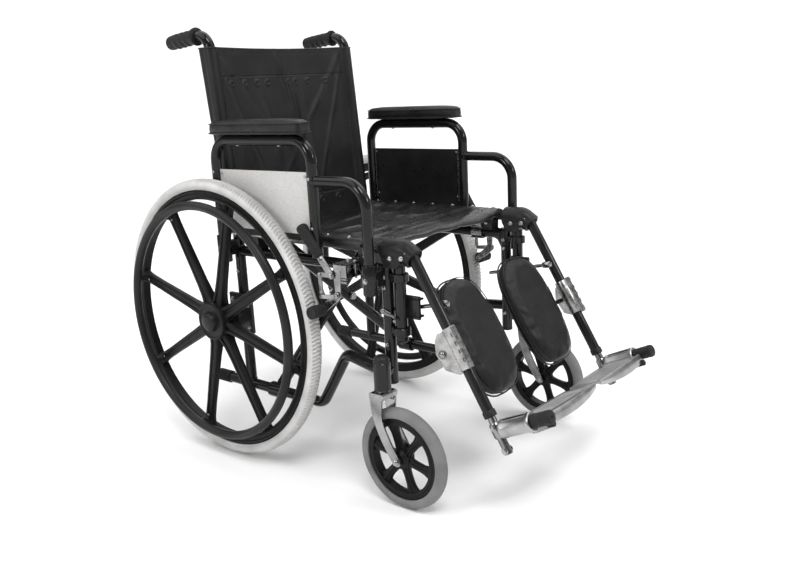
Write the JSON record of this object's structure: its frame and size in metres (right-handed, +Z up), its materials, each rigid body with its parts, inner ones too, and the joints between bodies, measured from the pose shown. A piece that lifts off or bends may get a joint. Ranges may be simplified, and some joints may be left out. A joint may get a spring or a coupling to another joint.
{
  "type": "folding wheelchair",
  "caption": "Folding manual wheelchair with a cross-braced tube frame, sling seat and back, moulded wheels, casters, lift-off arms, wheel locks and elevating leg rests with calf pads.",
  "frame": {"origin": "on the floor, at the middle of the bounding box", "axes": "+Z up, -Y to the front of the chair, +X to the left hand of the sitter"},
  "size_m": [0.6414, 1.0832, 0.9181],
  "materials": {
    "frame_black": "gloss black powder coat",
    "grip_black": "matt black rubber",
    "vinyl_black": "black grained vinyl",
    "plastic_black": "satin black moulded plastic",
    "rubber_black": "matt black rubber",
    "tyre_grey": "pale warm grey solid tyre",
    "caster_grey": "mid grey solid tyre",
    "panel_grey": "pale warm grey panel",
    "steel_bright": "bright plated steel",
    "cast_aluminium": "brushed cast aluminium"
  },
  "bodies": {
    "right_frame": {"right_side_frame": "frame_black", "right_push_grip": "grip_black", "right_axle_bolt": "steel_bright", "right_brake_clamp": "steel_bright", "back_sling": "vinyl_black"},
    "left_frame": {"left_side_frame": "frame_black", "left_push_grip": "grip_black", "left_axle_bolt": "steel_bright", "left_brake_clamp": "steel_bright"},
    "brace_a": {"brace_a": "frame_black", "brace_bolt": "steel_bright", "seat_sling": "vinyl_black"},
    "brace_b": {"brace_b": "frame_black"},
    "left_wheel": {"left_rear_wheel": "plastic_black", "left_rear_tyre": "tyre_grey", "left_handrim": "plastic_black", "left_hub_cap": "plastic_black"},
    "left_caster_fork": {"left_caster_fork": "steel_bright"},
    "left_caster_wheel": {"left_caster_wheel": "plastic_black", "left_caster_tyre": "caster_grey"},
    "left_arm": {"left_arm_frame": "frame_black", "left_arm_pad": "vinyl_black", "left_skirt_panel": "panel_grey"},
    "left_brake_lever": {"left_brake_lever": "steel_bright", "left_brake_grip": "grip_black"},
    "left_brake_arm": {"left_brake_arm": "steel_bright", "left_brake_shoe": "rubber_black"},
    "left_hanger": {"left_legrest_hanger": "frame_black"},
    "left_release": {"left_release_lever": "steel_bright"},
    "left_leg": {"left_legrest_strut": "frame_black", "left_calf_bracket": "steel_bright"},
    "left_calf_pad": {"left_calf_pad": "vinyl_black"},
    "left_rod": {"left_elevating_rod": "steel_bright"},
    "left_leg_tube": {"left_leg_tube": "steel_bright", "left_bar_tip": "rubber_black"},
    "left_footplate": {"left_footplate": "cast_aluminium"},
    "right_wheel": {"right_rear_wheel": "plastic_black", "right_rear_tyre": "tyre_grey", "right_handrim": "plastic_black", "right_hub_cap": "plastic_black"},
    "right_caster_fork": {"right_caster_fork": "steel_bright"},
    "right_caster_wheel": {"right_caster_wheel": "plastic_black", "right_caster_tyre": "caster_grey"},
    "right_arm": {"right_arm_frame": "frame_black", "right_arm_pad": "vinyl_black", "right_skirt_panel": "panel_grey"},
    "right_brake_lever": {"right_brake_lever": "steel_bright", "right_brake_grip": "grip_black"},
    "right_brake_arm": {"right_brake_arm": "steel_bright", "right_brake_shoe": "rubber_black"},
    "right_hanger": {"right_legrest_hanger": "frame_black"},
    "right_release": {"right_release_lever": "steel_bright"},
    "right_leg": {"right_legrest_strut": "frame_black", "right_calf_bracket": "steel_bright"},
    "right_calf_pad": {"right_calf_pad": "vinyl_black"},
    "right_rod": {"right_elevating_rod": "steel_bright"},
    "right_leg_tube": {"right_leg_tube": "steel_bright", "right_bar_tip": "rubber_black"},
    "right_footplate": {"right_footplate": "cast_aluminium"}
  },
  "joints": [
    {"name": "fold", "type": "hinge", "parent": "right_frame", "child": "brace_a", "pos_m": [-0.207, 0.1456, 0.137], "axis": [0, -1, 0], "range_deg": [0, 35.5], "deforming": ["seat_sling", "back_sling"]},
    {"name": "brace_cross", "type": "hinge", "parent": "brace_a", "child": "brace_b", "pos_m": [0, 0.1116, 0.3115], "axis": [0, -1, 0], "range_deg": [-71, 0]},
    {"name": "left_frame_hinge", "type": "hinge", "parent": "brace_b", "child": "left_frame", "pos_m": [0.207, 0.1116, 0.137], "axis": [0, -1, 0], "range_deg": [0, 35.5]},
    {"name": "left_wheel_spin", "type": "hinge", "parent": "left_frame", "child": "left_wheel", "pos_m": [0.2795, 0.2366, 0.305], "axis": [1, 0, 0], "continuous": true},
    {"name": "left_caster_swivel", "type": "hinge", "parent": "left_frame", "child": "left_caster_fork", "pos_m": [0.262, -0.2124, 0.227], "axis": [0, 0, 1], "continuous": true},
    {"name": "left_caster_spin", "type": "hinge", "parent": "left_caster_fork", "child": "left_caster_wheel", "pos_m": [0.262, -0.2544, 0.1], "axis": [1, 0, 0], "continuous": true},
    {"name": "left_arm_lift", "type": "slide", "parent": "left_frame", "child": "left_arm", "axis": [0, 0, 1], "range_m": [0, 0.12]},
    {"name": "left_brake_lever_turn", "type": "hinge", "parent": "left_frame", "child": "left_brake_lever", "pos_m": [0.2665, -0.0994, 0.436], "axis": [1, 0, 0], "range_deg": [0, 60]},
    {"name": "left_brake_arm_turn", "type": "hinge", "parent": "left_frame", "child": "left_brake_arm", "pos_m": [0.2665, -0.1114, 0.396], "axis": [1, 0, 0], "range_deg": [-20, 0]},
    {"name": "left_legrest_swing", "type": "hinge", "parent": "left_frame", "child": "left_hanger", "pos_m": [0.207, -0.2204, 0.445], "axis": [0, 0, 1], "range_deg": [0, 90]},
    {"name": "left_release_turn", "type": "hinge", "parent": "left_frame", "child": "left_release", "pos_m": [0.2185, -0.1864, 0.367], "axis": [0, 0, 1], "range_deg": [0, 25], "stiffness_Nm_per_rad": 0.1},
    {"name": "left_leg_elevate", "type": "hinge", "parent": "left_hanger", "child": "left_leg", "pos_m": [0.207, -0.2494, 0.483], "axis": [-1, 0, 0], "range_deg": [0, 55]},
    {"name": "left_rod_turn", "type": "hinge", "parent": "left_leg", "child": "left_rod", "pos_m": [0.1865, -0.30523, 0.38822], "axis": [-1, 0, 0], "range_deg": [-30, 0]},
    {"name": "left_calf_pad_swing", "type": "hinge", "parent": "left_leg", "child": "left_calf_pad", "pos_m": [0.185, -0.32774, 0.30863], "axis": [0, 0.5075, 0.8616], "range_deg": [0, 38]},
    {"name": "left_leg_extend", "type": "slide", "parent": "left_leg", "child": "left_leg_tube", "axis": [0, -0.5075, -0.8616], "range_m": [0, 0.08]},
    {"name": "left_footplate_flip", "type": "hinge", "parent": "left_leg_tube", "child": "left_footplate", "pos_m": [0.207, -0.47439, 0.19911], "axis": [0, 0.9063, -0.4226], "range_deg": [0, 90]},
    {"name": "right_wheel_spin", "type": "hinge", "parent": "right_frame", "child": "right_wheel", "pos_m": [-0.2795, 0.2366, 0.305], "axis": [1, 0, 0], "continuous": true},
    {"name": "right_caster_swivel", "type": "hinge", "parent": "right_frame", "child": "right_caster_fork", "pos_m": [-0.262, -0.2124, 0.227], "axis": [0, 0, -1], "continuous": true},
    {"name": "right_caster_spin", "type": "hinge", "parent": "right_caster_fork", "child": "right_caster_wheel", "pos_m": [-0.262, -0.2544, 0.1], "axis": [1, 0, 0], "continuous": true},
    {"name": "right_arm_lift", "type": "slide", "parent": "right_frame", "child": "right_arm", "axis": [0, 0, 1], "range_m": [0, 0.12]},
    {"name": "right_brake_lever_turn", "type": "hinge", "parent": "right_frame", "child": "right_brake_lever", "pos_m": [-0.2665, -0.0994, 0.436], "axis": [1, 0, 0], "range_deg": [0, 60]},
    {"name": "right_brake_arm_turn", "type": "hinge", "parent": "right_frame", "child": "right_brake_arm", "pos_m": [-0.2665, -0.1114, 0.396], "axis": [1, 0, 0], "range_deg": [-20, 0]},
    {"name": "right_legrest_swing", "type": "hinge", "parent": "right_frame", "child": "right_hanger", "pos_m": [-0.207, -0.2204, 0.445], "axis": [0, 0, -1], "range_deg": [0, 90]},
    {"name": "right_release_turn", "type": "hinge", "parent": "right_frame", "child": "right_release", "pos_m": [-0.2185, -0.1864, 0.367], "axis": [0, 0, -1], "range_deg": [0, 25], "stiffness_Nm_per_rad": 0.1},
    {"name": "right_leg_elevate", "type": "hinge", "parent": "right_hanger", "child": "right_leg", "pos_m": [-0.207, -0.2494, 0.483], "axis": [-1, 0, 0], "range_deg": [0, 55]},
    {"name": "right_rod_turn", "type": "hinge", "parent": "right_leg", "child": "right_rod", "pos_m": [-0.1865, -0.30523, 0.38822], "axis": [-1, 0, 0], "range_deg": [-30, 0]},
    {"name": "right_calf_pad_swing", "type": "hinge", "parent": "right_leg", "child": "right_calf_pad", "pos_m": [-0.185, -0.32774, 0.30863], "axis": [0, -0.5075, -0.8616], "range_deg": [0, 38]},
    {"name": "right_leg_extend", "type": "slide", "parent": "right_leg", "child": "right_leg_tube", "axis": [0, -0.5075, -0.8616], "range_m": [0, 0.08]},
    {"name": "right_footplate_flip", "type": "hinge", "parent": "right_leg_tube", "child": "right_footplate", "pos_m": [-0.207, -0.47439, 0.19911], "axis": [0, -0.9063, 0.4226], "range_deg": [0, 90]}
  ],
  "couplings": [
    {"joint": "brace_cross", "follows": "fold", "ratio": -2},
    {"joint": "left_frame_hinge", "follows": "fold", "ratio": 1},
    {"joint": "left_brake_arm_turn", "follows": "left_brake_lever_turn", "ratio": -0.33},
    {"joint": "left_legrest_swing", "follows": "fold", "ratio": 2.535},
    {"joint": "left_rod_turn", "follows": "left_leg_elevate", "ratio": -0.503},
    {"joint": "right_brake_arm_turn", "follows": "right_brake_lever_turn", "ratio": -0.33},
    {"joint": "right_legrest_swing", "follows": "fold", "ratio": 2.535},
    {"joint": "right_rod_turn", "follows": "right_leg_elevate", "ratio": -0.503}
  ]
}
